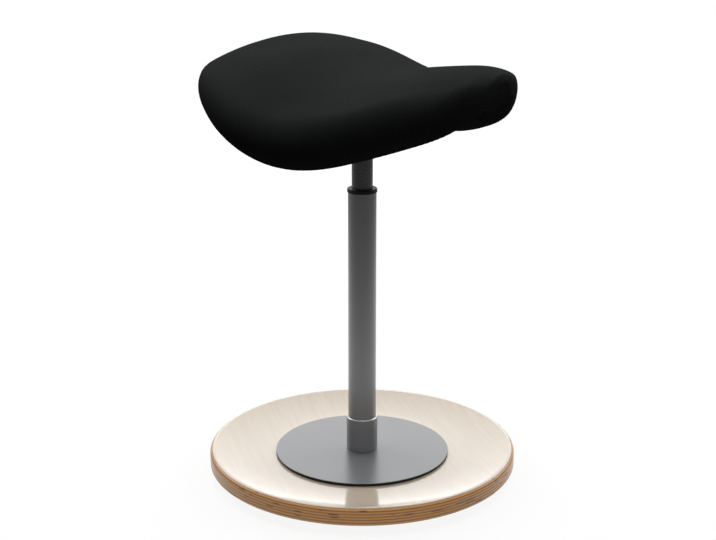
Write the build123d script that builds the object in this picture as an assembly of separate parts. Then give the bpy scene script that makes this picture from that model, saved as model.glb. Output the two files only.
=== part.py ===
from build123d import *
from collections import namedtuple
from math import asin, atan2, cos, degrees, radians, sin, tan
import os

# Saddle stool that rocks on a dished plywood base, in millimetres.
# The origin is on the floor under the column, +Z is up and the nose of the saddle points to -Y.
# The seat is drawn SEAT_RAISED above its lowest setting, with the release lever let go.

# Dished plywood plate, with a rubber pad let into its underside
PLATE_DIA = 420.0
PLATE_THICK = 24.0
PLATE_SWEEP = 294.0
PLATE_FLAT_MARGIN = 4.0
PLATE_TOP_ROUND = 6.0
PLATE_LOWER_ROUND = 4.5
FLOOR_PAD_DIA = 206.0
FLOOR_PAD_PROUD = 2.0
FLOOR_PAD_SET = 1.5

# Steel disc on the plate, with its screws from below and the collar welded on it
DISC_DIA = 238.0
DISC_THICK = 4.0
DISC_CHAMFER = 0.5
SCREW_CIRCLE_DIA = 150.0
SCREW_COUNT = 6
SCREW_DIA = 6.0
SCREW_HEAD_DIA = 12.0
SCREW_HEAD_DEPTH = 3.3
SCREW_BITE = 3.2
COLLAR_HEIGHT = 48.0
COLLAR_WALL = 2.0
COLLAR_CHAMFER = 1.2
COLLAR_FIT = 0.2

# Column tube, its foot and bolt, and the floor that carries the swivel bearing
TUBE_DIA = 38.0
TUBE_WALL = 1.5
FOOT_HEIGHT = 16.0
COLUMN_BOLT_DIA = 10.0
COLUMN_BOLT_HEAD_DIA = 17.0
COLUMN_BOLT_HEAD_HEIGHT = 6.4
COLUMN_BOLT_END_GAP = 2.0
BOLT_WASHER_DIA = 30.0
BOLT_WASHER_THICK = 2.5
BOLT_RECESS_DIA = 34.0
BOLT_RECESS_DEPTH = 11.0
TUBE_FLOOR_RISE = 41.0
TUBE_FLOOR_THICK = 5.0
BUSH_LENGTH = 75.0
BUSH_FLANGE_DIA = 40.0
BUSH_FLANGE_THICK = 5.0
BUSH_FLANGE_ROUND = 1.2

# Swivel bearing of radial rollers between two races
RACE_DIA = 28.0
RACE_THICK = 2.5
ROLLER_DIA = 2.5
ROLLER_LENGTH = 5.5
ROLLER_CIRCLE_DIA = 19.5
ROLLER_COUNT = 10
CAGE_DIA = 27.0
CAGE_THICK = 1.4

# Gas spring: rod, clip and piston stand in the column, the cylinder lifts with the seat
ROD_DIA = 10.0
ROD_SPIGOT_DIA = 8.0
ROD_SPIGOT_BELOW_FLOOR = 12.0
CLIP_DIA = 15.0
CLIP_THICK = 2.0
CLIP_GROOVE_DEPTH = 0.8
CLIP_SLOT = 5.0
ROD_WASHER_DIA = 20.0
ROD_WASHER_THICK = 2.0
BUMP_STOP_DIA = 24.0
BUMP_STOP_HEIGHT = 12.0
CYLINDER_DIA = 28.0
CYLINDER_WALL = 1.5
CYLINDER_LIP = 2.0
CYLINDER_LIP_BORE_DIA = 16.0
CYLINDER_HEAD = 55.0
CYLINDER_PROUD = 5.0
TAPER_HALF_ANGLE = 1.43
SEAT_RAISED = 40.0
SEAT_STROKE = 200.0
ROD_GUIDE_LENGTH = 14.0
ROD_SEAL_THICK = 4.0
PISTON_LENGTH = 18.0
PISTON_SPIGOT_DIA = 7.0
PISTON_RING_HEIGHT = 4.0
PISTON_RING_DEPTH = 2.0
RELEASE_PIN_DIA = 8.0
RELEASE_PIN_LENGTH = 28.0
RELEASE_PIN_PROUD = 8.0
RELEASE_PIN_DOME = 7.0

# Hub and pressed carrier under the seat block
HUB_DIA = 36.0
HUB_HEIGHT = 26.0
HUB_CHAMFER = 1.5
HUB_LANDING_GAP = 3.0
CARRIER_LENGTH = 120.0
CARRIER_WIDTH = 104.0
CARRIER_CHANNEL = 40.0
CARRIER_DEPTH = 31.0
CARRIER_SHEET = 3.0
CARRIER_BEND = 2.0
BLOCK_LENGTH = 124.0
BLOCK_WIDTH = 108.0
BLOCK_DEPTH = 30.0
BLOCK_CORNER = 12.0
SEAT_BOLT_SPACING_X = 76.0
SEAT_BOLT_SPACING_Y = 84.0
SEAT_BOLT_DIA = 6.0
SEAT_BOLT_LENGTH = 14.0
SEAT_BOLT_FLATS = 10.0
SEAT_BOLT_HEAD_HEIGHT = 4.0
SEAT_WASHER_DIA = 12.5
SEAT_WASHER_THICK = 1.6
INSERT_DIA = 10.0
INSERT_LENGTH = 10.0

# Release lever under the rear of the saddle
PIVOT_REACH = 25.0
PIVOT_DIA = 6.0
PIVOT_HEAD_DIA = 9.0
PIVOT_HEAD_THICK = 2.0
PIVOT_TAIL = 4.0
PIVOT_CLIP_DIA = 10.0
PIVOT_CLIP_THICK = 1.2
SPACER_DIA = 10.0
LEVER_WIDTH = 14.0
LEVER_THICK = 6.0
LEVER_TOE = 6.0
LEVER_HEEL = 14.0
LEVER_BOSS_DIA = 12.0
LEVER_ROD_DIA = 8.0
LEVER_ROD_LENGTH = 132.0
LEVER_DROOP = 8.0
GRIP_LENGTH = 58.0
GRIP_COVERS = 46.0
GRIP_WIDTH = 26.0
GRIP_THICK = 13.0
GRIP_NECK_WIDTH = 15.0
GRIP_NECK_THICK = 12.0
GRIP_TIP_WIDTH = 19.0
GRIP_TIP_THICK = 8.0
GRIP_CORNER_SHARE = 0.45

# Saddle: moulded shell, foam and stretched cover
SADDLE_HEIGHT = 555.5
COVER_THICK = 1.5
COVER_OPENING_SHARE = 0.72
COVER_SLACK = 1.7
SHELL_THICK = 9.0
SHELL_SHARE = 0.9
FOAM_SLACK = 0.9
SHELL_FRONT = 190.0
SHELL_REAR = -126.0

# Fits: sliding and pressed radial clearances, faces that move past each other, the glue line
SLIDE_FIT = 0.05
PRESS_FIT = 0.02
FACE_GAP = 0.3
GLUE_LINE = 0.15

# One line across the saddle: how far it lies in front of the column, the half width to the rim,
# the height of the ridge and of the rim at mid thickness, above SADDLE_HEIGHT, the thickness,
# and the radius of the rim's roll.
Station = namedtuple("Station", "reach half_width ridge rim thick roll")
STATIONS = [
    Station(210.0, 15.0, 8.0, 3.0, 13.0, 5.2),
    Station(203.0, 34.0, -2.0, -11.0, 27.0, 10.8),
    Station(197.0, 51.5, -6.0, -22.5, 38.0, 16.0),
    Station(175.0, 71.0, -8.5, -42.0, 47.0, 24.0),
    Station(140.0, 102.0, -13.0, -58.5, 51.0, 30.0),
    Station(90.0, 148.0, -17.0, -80.5, 47.0, 34.0),
    Station(40.0, 183.0, -17.0, -85.0, 45.0, 35.0),
    Station(-10.0, 198.0, -4.0, -82.5, 46.0, 35.0),
    Station(-60.0, 203.5, 7.0, -59.5, 51.0, 33.0),
    Station(-105.0, 190.5, 10.0, -31.0, 50.0, 28.0),
    Station(-123.5, 175.5, 14.0, -17.0, 42.0, 20.0),
    Station(-132.0, 152.5, 19.5, -4.0, 27.0, 12.0),
    Station(-138.0, 125.0, 26.5, 10.0, 12.0, 5.0),
]
OPEN_STATIONS = STATIONS[3:-3]
SADDLE_THICK = max(station.thick for station in STATIONS)

# Heights under the saddle, from its underside down
block_bottom = SADDLE_HEIGHT - SADDLE_THICK / 2 - BLOCK_DEPTH
web_bottom = block_bottom - CARRIER_DEPTH
web_top = web_bottom + CARRIER_SHEET
flange_bottom = block_bottom - CARRIER_SHEET
hub_bottom = web_bottom - HUB_HEIGHT
cylinder_top = web_top + CYLINDER_PROUD
cavity_top = cylinder_top - CYLINDER_HEAD
pin_top = cylinder_top + RELEASE_PIN_PROUD
pin_bottom = pin_top - RELEASE_PIN_LENGTH
pivot_height = pin_top + FACE_GAP + LEVER_THICK / 2

# Heights from the floor up; the column ends where the lowered hub nearly meets its bush
plate_bottom = FLOOR_PAD_PROUD
pad_top = plate_bottom + FLOOR_PAD_SET
plate_top = plate_bottom + PLATE_THICK
disc_top = plate_top + DISC_THICK
tube_top = hub_bottom - SEAT_RAISED - HUB_LANDING_GAP - BUSH_FLANGE_THICK
foot_top = disc_top + FOOT_HEIGHT
recess_top = pad_top + BOLT_RECESS_DEPTH
washer_bottom = recess_top - BOLT_WASHER_THICK
floor_bottom = disc_top + TUBE_FLOOR_RISE
floor_top = floor_bottom + TUBE_FLOOR_THICK
rollers_bottom = floor_top + RACE_THICK
rollers_top = rollers_bottom + ROLLER_DIA + 2 * SLIDE_FIT
race_top = rollers_top + RACE_THICK
stop_top = race_top + BUMP_STOP_HEIGHT
cylinder_bottom = stop_top + FACE_GAP + SEAT_RAISED
guide_bottom = cylinder_bottom + CYLINDER_LIP
guide_top = guide_bottom + ROD_GUIDE_LENGTH
seal_top = guide_top + ROD_SEAL_THICK
piston_bottom = seal_top + SEAT_STROKE - SEAT_RAISED + FACE_GAP
piston_top = piston_bottom + PISTON_LENGTH

# Radii that several pieces share
tube_bore = TUBE_DIA / 2 - TUBE_WALL
cylinder_bore = CYLINDER_DIA / 2 - CYLINDER_WALL
collar_bore = TUBE_DIA / 2 + COLLAR_FIT
channel_outer = CARRIER_CHANNEL / 2 + CARRIER_SHEET


def bar(radius, bottom, top):
    """Round bar on the column axis between two heights."""
    middle = (Align.CENTER, Align.CENTER, Align.MIN)
    return Pos(0, 0, bottom) * Cylinder(radius, top - bottom, align=middle)


def ring(outer, inner, bottom, top):
    """Plain ring on the column axis between two heights."""
    return bar(outer, bottom, top) - bar(inner, bottom, top)


def turned(corners):
    """Solid turned about the column axis from (radius, height) corners."""
    profile = make_face(Polyline(corners, close=True))
    return revolve(Plane.XZ * profile, Axis.Z)


def cross_bar(radius, start, end, reach, height):
    """Round bar along X between two X places."""
    middle = (Align.CENTER, Align.CENTER, Align.MIN)
    length = end - start
    return Pos(start, reach, height) * Rot(0, 90, 0) * Cylinder(radius, length, align=middle)


def copies(locations, solid):
    """Group of one solid at several places."""
    return Compound([place * solid for place in locations])


def screw_places():
    """Places of the disc's screws round the column."""
    return PolarLocations(SCREW_CIRCLE_DIA / 2, SCREW_COUNT)


def seat_bolt_places():
    """Places of the bolts through the carrier's flanges."""
    return GridLocations(SEAT_BOLT_SPACING_X, SEAT_BOLT_SPACING_Y, 2, 2)


def countersunk_screw(grow=0.0):
    """Countersunk screw from above the pad up into the disc; grow widens it for its hole."""
    shank = SCREW_DIA / 2 + grow
    head = SCREW_HEAD_DIA / 2 + grow
    neck = pad_top + SCREW_HEAD_DEPTH
    tip = plate_top + SCREW_BITE + grow
    return turned([(0, pad_top), (head, pad_top), (shank, neck), (shank, tip), (0, tip)])


def rocker_plate():
    """Plate with a flat middle and a rim that sweeps up on an arc of constant thickness."""
    flat = DISC_DIA / 2 + PLATE_FLAT_MARGIN
    run = PLATE_DIA / 2 - flat
    centre = (flat, plate_top + PLATE_SWEEP)
    under_sweep = PLATE_SWEEP + PLATE_THICK
    upper = CenterArc(centre, PLATE_SWEEP, -90, degrees(asin(run / PLATE_SWEEP)))
    lower = CenterArc(centre, under_sweep, -90, degrees(asin(run / under_sweep)))
    outline = Curve() + [
        Line((0, plate_bottom), (flat, plate_bottom)),
        lower,
        Line(lower @ 1, upper @ 1),
        upper,
        Line((flat, plate_top), (0, plate_top)),
        Line((0, plate_top), (0, plate_bottom)),
    ]
    profile = make_face(outline)
    profile = fillet(profile.vertices().sort_by(Axis.X)[-2:].sort_by(Axis.Y)[0], PLATE_LOWER_ROUND)
    profile = fillet(profile.vertices().sort_by(Axis.Y)[-1], PLATE_TOP_ROUND)
    plate = revolve(Plane.XZ * profile, Axis.Z)
    plate -= floor_pad(PRESS_FIT)
    plate -= bar(BOLT_RECESS_DIA / 2, pad_top, recess_top)
    plate -= bar(COLUMN_BOLT_DIA / 2 + COLLAR_FIT, recess_top, plate_top)
    return plate - [place * countersunk_screw(PRESS_FIT) for place in screw_places()]


def floor_pad(grow=0.0):
    """Rubber pad that the stool stands on, glued over the screws; grow widens it for its recess."""
    return bar(FLOOR_PAD_DIA / 2 + grow, 0, pad_top)


def base_disc():
    """Steel disc with a broken upper edge, blind threads below and the bolt's hole."""
    radius = DISC_DIA / 2
    shoulder = disc_top - DISC_CHAMFER
    disc = turned([(0, plate_top), (radius, plate_top), (radius, shoulder),
                   (radius - DISC_CHAMFER, disc_top), (0, disc_top)])
    disc -= bar(COLUMN_BOLT_DIA / 2 + COLLAR_FIT, plate_top, disc_top)
    return disc - [place * countersunk_screw(PRESS_FIT) for place in screw_places()]


def disc_screws():
    """Countersunk screws that hold the disc on the plate."""
    return copies(screw_places(), countersunk_screw())


def column_collar():
    """Sleeve welded on the disc, with a turned chamfer round its mouth."""
    outer = collar_bore + COLLAR_WALL
    top = disc_top + COLLAR_HEIGHT
    return turned([(collar_bore, disc_top), (outer, disc_top), (outer, top - COLLAR_CHAMFER),
                   (outer - COLLAR_CHAMFER, top), (collar_bore, top)])


def column_bolt():
    """Cap screw from the plate's recess into the column foot."""
    head_bottom = washer_bottom - COLUMN_BOLT_HEAD_HEIGHT
    head = bar(COLUMN_BOLT_HEAD_DIA / 2, head_bottom, washer_bottom)
    socket = extrude(Pos(0, 0, head_bottom) * RegularPolygon(COLUMN_BOLT_DIA / 2, 6),
                     COLUMN_BOLT_HEAD_HEIGHT / 2)
    shank = bar(COLUMN_BOLT_DIA / 2, washer_bottom, foot_top - COLUMN_BOLT_END_GAP)
    return head + shank - socket


def bolt_washer():
    """Wide washer over the bolt's head."""
    return ring(BOLT_WASHER_DIA / 2, COLUMN_BOLT_DIA / 2 + COLLAR_FIT, washer_bottom, recess_top)


def column_foot():
    """Threaded plug in the lower end of the tube."""
    return ring(tube_bore - PRESS_FIT, COLUMN_BOLT_DIA / 2 + PRESS_FIT, disc_top, foot_top)


def column_tube():
    """Column tube, standing on the disc inside the collar."""
    return ring(TUBE_DIA / 2, tube_bore, disc_top, tube_top)


def tube_floor():
    """Plate pressed into the tube that carries the swivel bearing."""
    return ring(tube_bore - PRESS_FIT, ROD_SPIGOT_DIA / 2 + FACE_GAP, floor_bottom, floor_top)


def guide_bush():
    """Flanged plastic bush that guides the cylinder in the top of the tube."""
    bore = CYLINDER_DIA / 2 + SLIDE_FIT
    top = tube_top + BUSH_FLANGE_THICK
    sleeve = ring(tube_bore - PRESS_FIT, bore, tube_top - BUSH_LENGTH + BUSH_FLANGE_THICK, tube_top)
    flange = ring(BUSH_FLANGE_DIA / 2, bore, tube_top, top)
    rim = flange.edges().filter_by(GeomType.CIRCLE).group_by(Axis.Z)[-1].sort_by(SortBy.RADIUS)[-1]
    return sleeve + fillet(rim, BUSH_FLANGE_ROUND)


def lower_race():
    """Hardened washer on the tube floor."""
    return ring(RACE_DIA / 2, ROD_SPIGOT_DIA / 2 + FACE_GAP, floor_top, rollers_bottom)


def upper_race():
    """Hardened washer under the shoulder of the rod."""
    return ring(RACE_DIA / 2, ROD_SPIGOT_DIA / 2 + PRESS_FIT, rollers_top, race_top)


def roller(grow=0.0):
    """One roller, lying along X at the middle height of the bearing."""
    start = (ROLLER_CIRCLE_DIA - ROLLER_LENGTH) / 2 - grow
    end = (ROLLER_CIRCLE_DIA + ROLLER_LENGTH) / 2 + grow
    middle = (rollers_bottom + rollers_top) / 2
    return cross_bar(ROLLER_DIA / 2 + grow, start, end, 0, middle)


def roller_places():
    """Places of the rollers round the rod."""
    return PolarLocations(0, ROLLER_COUNT)


def bearing_rollers():
    """Ring of radial rollers."""
    return copies(roller_places(), roller())


def roller_cage():
    """Flat ring with a pocket for each roller."""
    middle = (rollers_bottom + rollers_top) / 2
    cage = ring(CAGE_DIA / 2, ROD_SPIGOT_DIA / 2 + FACE_GAP,
                middle - CAGE_THICK / 2, middle + CAGE_THICK / 2)
    return cage - [place * roller(SLIDE_FIT) for place in roller_places()]


def bump_stop():
    """Rubber ring that the cylinder lands on at its lowest."""
    return ring(BUMP_STOP_DIA / 2, ROD_DIA / 2 + PRESS_FIT, race_top, stop_top)


def piston_rod():
    """Rod with a stepped spigot through the bearing, a clip groove and a spigot for the piston."""
    spigot = ROD_SPIGOT_DIA / 2
    groove = spigot - CLIP_GROOVE_DEPTH
    groove_top = floor_bottom - FACE_GAP - ROD_WASHER_THICK
    groove_bottom = groove_top - CLIP_THICK
    end = floor_bottom - ROD_SPIGOT_BELOW_FLOOR
    tip = PISTON_SPIGOT_DIA / 2
    return turned([(0, end), (spigot, end), (spigot, groove_bottom), (groove, groove_bottom),
                   (groove, groove_top), (spigot, groove_top), (spigot, race_top),
                   (ROD_DIA / 2, race_top), (ROD_DIA / 2, piston_bottom), (tip, piston_bottom),
                   (tip, piston_top), (0, piston_top)])


def rod_washer():
    """Washer between the tube floor and the clip."""
    top = floor_bottom - FACE_GAP
    return ring(ROD_WASHER_DIA / 2, ROD_SPIGOT_DIA / 2 + PRESS_FIT, top - ROD_WASHER_THICK, top)


def rod_clip():
    """Open spring clip in the groove of the rod."""
    top = floor_bottom - FACE_GAP - ROD_WASHER_THICK
    bore = ROD_SPIGOT_DIA / 2 - CLIP_GROOVE_DEPTH + PRESS_FIT
    clip = ring(CLIP_DIA / 2, bore, top - CLIP_THICK, top)
    from_centre = (Align.CENTER, Align.MIN, Align.MAX)
    return clip - Pos(0, 0, top) * Box(CLIP_SLOT, CLIP_DIA, CLIP_THICK, align=from_centre)


def piston():
    """Piston on the rod's upper spigot, grooved for its ring."""
    outer = cylinder_bore - 2 * SLIDE_FIT
    inner = PISTON_SPIGOT_DIA / 2 + PRESS_FIT
    middle = (piston_bottom + piston_top) / 2
    groove = outer - PISTON_RING_DEPTH
    low = middle - PISTON_RING_HEIGHT / 2
    high = middle + PISTON_RING_HEIGHT / 2
    return turned([(inner, piston_bottom), (outer, piston_bottom), (outer, low), (groove, low),
                   (groove, high), (outer, high), (outer, piston_top), (inner, piston_top)])


def piston_ring():
    """Sealing ring in the piston's groove."""
    middle = (piston_bottom + piston_top) / 2
    half = PISTON_RING_HEIGHT / 2 - PRESS_FIT
    inner = cylinder_bore - 2 * SLIDE_FIT - PISTON_RING_DEPTH + PRESS_FIT
    return ring(cylinder_bore - SLIDE_FIT, inner, middle - half, middle + half)


def taper_radius(height):
    """Radius of the cylinder's tapered head at a height above the hub's mouth."""
    return CYLINDER_DIA / 2 - max(0.0, height - hub_bottom) * tan(radians(TAPER_HALF_ANGLE))


def gas_cylinder():
    """Cylinder with a rolled lower lip, a long bore and a tapered head bored for the release pin."""
    outer = CYLINDER_DIA / 2
    lip = CYLINDER_LIP_BORE_DIA / 2
    pin_bore = RELEASE_PIN_DIA / 2 + SLIDE_FIT
    pin_room = pin_bottom - RELEASE_PIN_PROUD
    return turned([(lip, cylinder_bottom), (outer, cylinder_bottom), (outer, hub_bottom),
                   (taper_radius(cylinder_top), cylinder_top), (pin_bore, cylinder_top),
                   (pin_bore, pin_room), (0, pin_room), (0, cavity_top),
                   (cylinder_bore, cavity_top), (cylinder_bore, guide_bottom), (lip, guide_bottom)])


def rod_guide():
    """Plug behind the cylinder's lip that guides the rod."""
    return ring(cylinder_bore - PRESS_FIT, ROD_DIA / 2 + SLIDE_FIT, guide_bottom, guide_top)


def rod_seal():
    """Rubber seal on the rod guide."""
    return ring(cylinder_bore - PRESS_FIT, ROD_DIA / 2 + SLIDE_FIT, guide_top, seal_top)


def release_pin():
    """Valve pin with a domed head for the lever."""
    radius = RELEASE_PIN_DIA / 2
    shoulder = pin_top - RELEASE_PIN_DOME * (1 - cos(asin(radius / RELEASE_PIN_DOME)))
    outline = Curve() + [
        Line((0, pin_bottom), (radius, pin_bottom)),
        Line((radius, pin_bottom), (radius, shoulder)),
        RadiusArc((radius, shoulder), (0, pin_top), -RELEASE_PIN_DOME),
        Line((0, pin_top), (0, pin_bottom)),
    ]
    return revolve(Plane.XZ * make_face(outline), Axis.Z)


def seat_hub():
    """Tapered socket welded under the carrier's web."""
    mouth = CYLINDER_DIA / 2 + PRESS_FIT
    throat = taper_radius(web_bottom) + PRESS_FIT
    outer = HUB_DIA / 2
    return turned([(mouth, hub_bottom), (outer - HUB_CHAMFER, hub_bottom),
                   (outer, hub_bottom + HUB_CHAMFER), (outer, web_bottom), (throat, web_bottom)])


def seat_carrier():
    """Pressed hat section along Y: channel for the lever, flanges bolted under the seat block."""
    inner = CARRIER_CHANNEL / 2
    edge = CARRIER_WIDTH / 2
    half = [(edge, block_bottom), (edge, flange_bottom), (channel_outer, flange_bottom),
            (channel_outer, web_bottom)]
    other = [(-x, z) for x, z in reversed(half)]
    channel = [(-inner, block_bottom), (-inner, web_top), (inner, web_top), (inner, block_bottom)]
    profile = make_face(Polyline(half + other + channel, close=True))
    for (x, z), radius in [
        ((inner, web_top), CARRIER_BEND),
        ((channel_outer, flange_bottom), CARRIER_BEND),
        ((channel_outer, web_bottom), CARRIER_BEND + CARRIER_SHEET),
        ((inner, block_bottom), CARRIER_BEND + CARRIER_SHEET),
    ]:
        for side in (x, -x):
            profile = fillet(profile.vertices().sort_by_distance((side, z))[0], radius)
    carrier = extrude(Plane.XZ * profile, CARRIER_LENGTH / 2, both=True)
    carrier -= bar(CYLINDER_DIA / 2, web_bottom, web_top)
    carrier -= cross_bar(PIVOT_DIA / 2 + PRESS_FIT, -edge, edge, PIVOT_REACH, pivot_height)
    hole = bar(SEAT_BOLT_DIA / 2 + COLLAR_FIT, flange_bottom, block_bottom)
    return carrier - [place * hole for place in seat_bolt_places()]


def seat_block():
    """Plywood block glued under the shell, flat below for the carrier."""
    plan = RectangleRounded(BLOCK_WIDTH, BLOCK_LENGTH, BLOCK_CORNER)
    block = extrude(Pos(0, 0, block_bottom) * plan, 2 * BLOCK_DEPTH)
    block = (block - seat_shell()).solids().sort_by(Axis.Z)[0]
    hole = bar(INSERT_DIA / 2 + PRESS_FIT, block_bottom, block_bottom + INSERT_LENGTH)
    return block - [place * hole for place in seat_bolt_places()]


def block_inserts():
    """Threaded inserts in the block."""
    insert = ring(INSERT_DIA / 2, SEAT_BOLT_DIA / 2 + PRESS_FIT, block_bottom,
                  block_bottom + INSERT_LENGTH)
    return copies(seat_bolt_places(), insert)


def seat_bolts():
    """Hexagon bolts up through the carrier's flanges."""
    head_top = flange_bottom - SEAT_WASHER_THICK
    head_plan = RegularPolygon(SEAT_BOLT_FLATS / 2, 6, major_radius=False)
    head = extrude(Pos(0, 0, head_top - SEAT_BOLT_HEAD_HEIGHT) * head_plan, SEAT_BOLT_HEAD_HEIGHT)
    bolt = head + bar(SEAT_BOLT_DIA / 2, head_top, head_top + SEAT_BOLT_LENGTH)
    return copies(seat_bolt_places(), bolt)


def seat_washers():
    """Washers under the bolt heads."""
    washer = ring(SEAT_WASHER_DIA / 2, SEAT_BOLT_DIA / 2 + COLLAR_FIT,
                  flange_bottom - SEAT_WASHER_THICK, flange_bottom)
    return copies(seat_bolt_places(), washer)


def pivot_pin():
    """Headed pin across the channel that the lever turns on."""
    start = -channel_outer
    end = channel_outer + PIVOT_TAIL
    pin = cross_bar(PIVOT_DIA / 2, start, end, PIVOT_REACH, pivot_height)
    return pin + cross_bar(PIVOT_HEAD_DIA / 2, start - PIVOT_HEAD_THICK, start, PIVOT_REACH, pivot_height)


def cross_ring(outer, start, end):
    """Ring on the pivot pin between two X places."""
    bore = cross_bar(PIVOT_DIA / 2 + PRESS_FIT, start, end, PIVOT_REACH, pivot_height)
    return cross_bar(outer, start, end, PIVOT_REACH, pivot_height) - bore


def pivot_clip():
    """Push-on washer that keeps the pin in the channel."""
    return cross_ring(PIVOT_CLIP_DIA / 2, channel_outer, channel_outer + PIVOT_CLIP_THICK)


def pivot_spacers():
    """Two sleeves that keep the lever in the middle of the channel."""
    lever_side = LEVER_WIDTH / 2 + FACE_GAP
    wall = CARRIER_CHANNEL / 2
    return Compound([cross_ring(SPACER_DIA / 2, lever_side, wall),
                     cross_ring(SPACER_DIA / 2, -wall, -lever_side)])


def lever_plane(along):
    """Plane across the lever's rod, a distance along it from the heel of the tongue."""
    droop = radians(LEVER_DROOP)
    heading = Vector(0, cos(droop), -sin(droop))
    start = Vector(0, PIVOT_REACH + LEVER_HEEL - LEVER_ROD_DIA / 2, pivot_height)
    return Plane(start + heading * along, x_dir=(1, 0, 0), z_dir=heading)


def release_lever():
    """Flat tongue over the release pin, a boss on the pivot and a round rod drooping to the rear."""
    length = PIVOT_REACH + LEVER_TOE + LEVER_HEEL
    middle = (LEVER_HEEL + PIVOT_REACH - LEVER_TOE) / 2
    plan = RectangleRounded(LEVER_WIDTH, length, LEVER_THICK / 2)
    tongue = extrude(Pos(0, middle, pivot_height) * plan, LEVER_THICK / 2, both=True)
    half = LEVER_WIDTH / 2
    boss = cross_bar(LEVER_BOSS_DIA / 2, -half, half, PIVOT_REACH, pivot_height)
    rod = extrude(lever_plane(0) * Circle(LEVER_ROD_DIA / 2), LEVER_ROD_LENGTH)
    hole = cross_bar(PIVOT_DIA / 2 + SLIDE_FIT, -half, half, PIVOT_REACH, pivot_height)
    return tongue + boss + rod - hole


def lever_grip():
    """Moulded paddle pushed on the end of the rod."""
    start = LEVER_ROD_LENGTH - GRIP_COVERS
    sizes = [(0, GRIP_NECK_WIDTH, GRIP_NECK_THICK), (GRIP_LENGTH / 2, GRIP_WIDTH, GRIP_THICK),
             (GRIP_LENGTH, GRIP_TIP_WIDTH, GRIP_TIP_THICK)]
    sections = [lever_plane(start + along) * RectangleRounded(width, thick, GRIP_CORNER_SHARE * thick)
                for along, width, thick in sizes]
    bore = extrude(lever_plane(start) * Circle(LEVER_ROD_DIA / 2 + PRESS_FIT), GRIP_COVERS)
    return loft(sections) - bore


Saddle = namedtuple("Saddle", "crown crown_radius rim_x rim_z under under_radius")


def saddle_circles(station):
    """Circles of one section: crown and underside on the middle plane, both tangent to the rim's.

    The rim circle stands inside the rim's tip along the mid-thickness arc. The crown circle
    encloses it and the underside circle touches it from below.
    """
    ridge = SADDLE_HEIGHT + station.ridge
    rim = SADDLE_HEIGHT + station.rim
    slope = 2 * atan2(ridge - rim, station.half_width)
    rim_x = station.half_width - station.roll * cos(slope)
    rim_z = rim + station.roll * sin(slope)
    top = ridge + station.thick / 2
    bottom = ridge - station.thick / 2
    square = rim_x ** 2 - station.roll ** 2
    crown_radius = (square + (top - rim_z) ** 2) / (2 * (top - rim_z - station.roll))
    under_radius = (square + (bottom - rim_z) ** 2) / (2 * (station.roll + bottom - rim_z))
    return Saddle(top - crown_radius, crown_radius, rim_x, rim_z, bottom - under_radius, under_radius)


def saddle_section(station, inset, reach):
    """Closed outline across the saddle: crown, two rolled rims and underside, drawn in by inset."""
    form = saddle_circles(station)
    crown_turn = atan2(form.rim_x, form.rim_z - form.crown)
    under_turn = atan2(form.rim_x, form.rim_z - form.under)
    roll = station.roll - inset

    def on_rim(turn, side):
        x = form.rim_x + roll * sin(turn)
        z = form.rim_z + roll * cos(turn)
        return (side * x, -reach, z)

    turns = [crown_turn + step * (radians(180) + under_turn - crown_turn) / 4 for step in range(5)]
    right = [on_rim(turn, 1) for turn in turns]
    left = [on_rim(turn, -1) for turn in turns]
    crown = (0, -reach, form.crown + form.crown_radius - inset)
    under = (0, -reach, form.under + form.under_radius + inset)
    return Wire([
        ThreePointArc(left[0], crown, right[0]),
        ThreePointArc(*right[0:3]),
        ThreePointArc(*right[2:5]),
        ThreePointArc(right[4], under, left[4]),
        ThreePointArc(left[4], left[3], left[2]),
        ThreePointArc(left[2], left[1], left[0]),
    ])


def saddle_form(inset):
    """Whole padded saddle, lofted through its stations and drawn in by inset all round."""
    front = STATIONS[0].reach
    rear = STATIONS[-1].reach
    middle = (front + rear) / 2
    shrink = 1 - 2 * inset / (front - rear)
    return Solid.make_loft([
        saddle_section(station, inset, middle + (station.reach - middle) * shrink)
        for station in STATIONS
    ])


def underside_strip(low, high, share, edge=0.0, stations=STATIONS):
    """Curved plate along the underside, between two depths above it.

    It takes a share of the arc between the rims, and an edge more at each end.
    """
    sections = []
    for station in stations:
        form = saddle_circles(station)
        half_turn = share * atan2(form.rim_x, form.rim_z - form.under) + edge / form.under_radius

        def on_arc(depth, turn):
            radius = form.under_radius + depth
            return (radius * sin(turn), -station.reach, form.under + radius * cos(turn))

        sections.append(Wire([
            ThreePointArc(on_arc(high, -half_turn), on_arc(high, 0), on_arc(high, half_turn)),
            Line(on_arc(high, half_turn), on_arc(low, half_turn)),
            ThreePointArc(on_arc(low, half_turn), on_arc(low, 0), on_arc(low, -half_turn)),
            Line(on_arc(low, -half_turn), on_arc(high, -half_turn)),
        ]))
    return Solid.make_loft(sections)


def slab(front, rear):
    """Space between two lines across the saddle."""
    span = 4 * max(station.half_width for station in STATIONS)
    return Pos(0, -(front + rear) / 2, SADDLE_HEIGHT) * Box(span, front - rear, span)


def seat_shell():
    """Moulded shell that carries the foam."""
    low = COVER_THICK + COVER_SLACK
    return underside_strip(low, low + SHELL_THICK, SHELL_SHARE) & slab(SHELL_FRONT, SHELL_REAR)


def seat_foam():
    """Foam over the shell, moulded to the saddle's form and open under the shell."""
    top = COVER_THICK + COVER_SLACK + SHELL_THICK + FOAM_SLACK
    pocket = underside_strip(-SHELL_THICK, top, SHELL_SHARE, FOAM_SLACK)
    pocket &= slab(SHELL_FRONT + FACE_GAP, SHELL_REAR - FACE_GAP)
    return saddle_form(COVER_THICK + GLUE_LINE) - pocket


def seat_cover():
    """Stretched cover, drawn round the rim and fixed under the shell with a wide hem."""
    opening = underside_strip(-SHELL_THICK, SHELL_THICK, COVER_OPENING_SHARE, stations=OPEN_STATIONS)
    return saddle_form(0.0) - saddle_form(COVER_THICK) - opening


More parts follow.
